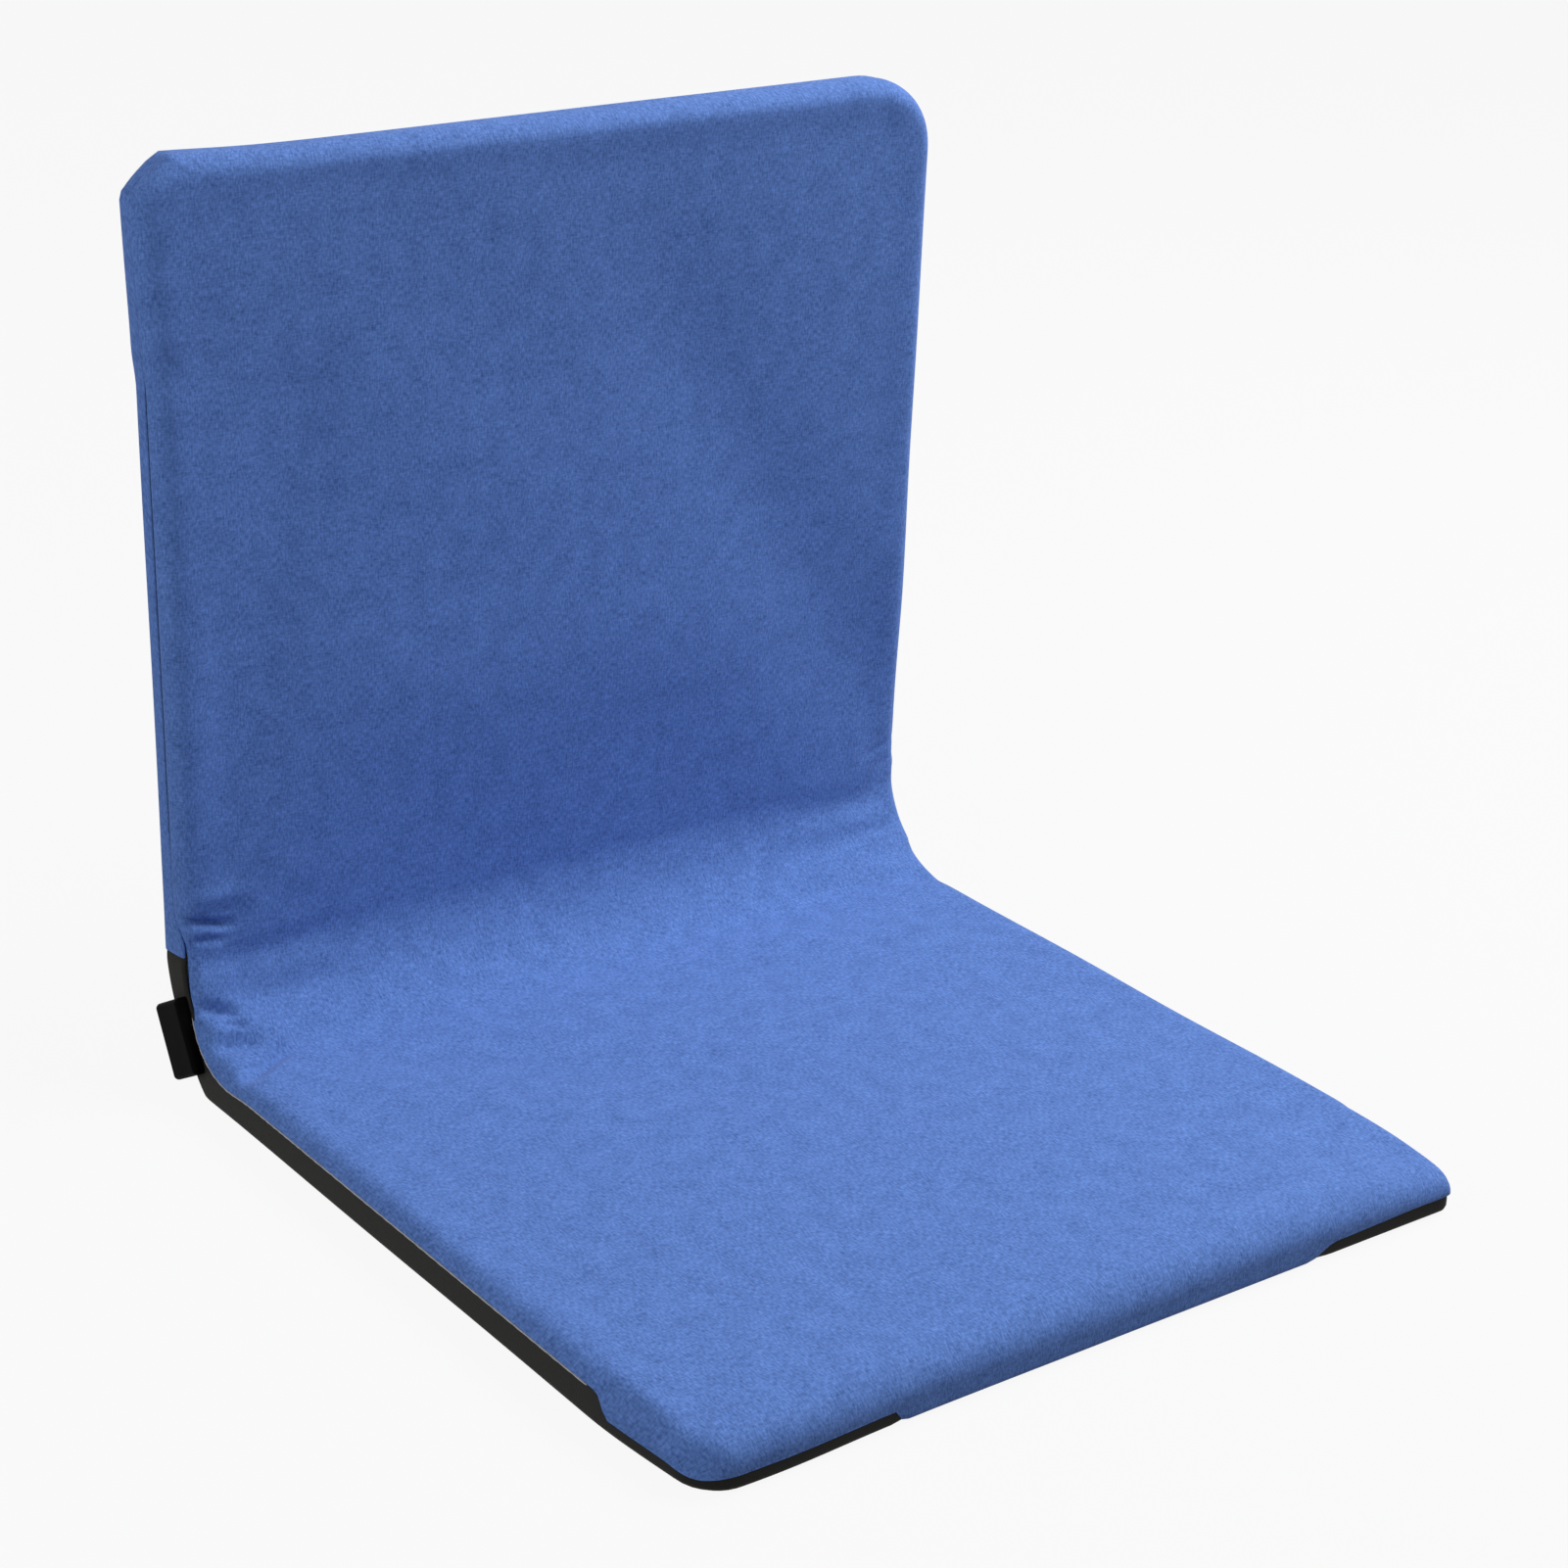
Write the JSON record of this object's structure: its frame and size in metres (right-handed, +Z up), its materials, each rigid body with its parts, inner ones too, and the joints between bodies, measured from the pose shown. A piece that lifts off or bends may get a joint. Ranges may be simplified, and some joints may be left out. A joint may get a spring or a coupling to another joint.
{
  "type": "reclining floor chair",
  "caption": "Legless folding floor chair: two padded cloth panels on bent tube frames, joined by ratchet hinges, so the back folds onto the seat, stands upright or reclines flat.",
  "frame": {"origin": "bottom centre of the bounding box with the back upright, on the ground", "axes": "+Z up, the chair faces -Y, +X across it, to the right as seen from the front"},
  "size_m": [0.4368, 0.4478, 0.4508],
  "materials": {
    "blue_cloth": "heathered blue woven polyester, matt",
    "black_cloth": "coated black woven polyester",
    "foam": "white closed cell foam",
    "black_steel": "black powder coat",
    "bare_steel": "zinc plated",
    "nylon": "natural nylon",
    "black_plastic": "moulded black, fine grain"
  },
  "bodies": {
    "seat": {"seat_cover": "blue_cloth", "cover_bend": "blue_cloth", "seat_base": "black_cloth", "corner_gusset": "black_cloth", "seat_top_foam": "foam", "seat_core_foam": "foam", "seat_frame": "black_steel", "seat_cross_bar": "black_steel", "seat_frame_rivets": "bare_steel", "ratchet_plate_left": "bare_steel", "pivot_rivet_left": "bare_steel", "hinge_washers_left": "nylon", "hinge_cap_left": "black_plastic", "ratchet_plate_right": "bare_steel", "pivot_rivet_right": "bare_steel", "hinge_washers_right": "nylon", "hinge_cap_right": "black_plastic"},
    "back": {"back_cover": "blue_cloth", "back_rear_cover": "blue_cloth", "back_top_foam": "foam", "back_core_foam": "foam", "back_frame": "black_steel", "back_cross_bar": "black_steel", "back_frame_rivets": "bare_steel", "outer_cheek_left": "bare_steel", "inner_cheek_left": "bare_steel", "pawl_spring_left": "bare_steel", "pawl_rivet_left": "bare_steel", "outer_cheek_right": "bare_steel", "inner_cheek_right": "bare_steel", "pawl_spring_right": "bare_steel", "pawl_rivet_right": "bare_steel"}
  },
  "joints": [
    {"name": "backrest_recline", "type": "hinge", "parent": "seat", "child": "back", "pos_m": [0, 0.1941, 0.0298], "axis": [-1, 0, 0], "range_deg": [-90, 90], "deforming": ["cover_bend", "corner_gusset", "pawl_spring_left", "pawl_spring_right"]}
  ]
}
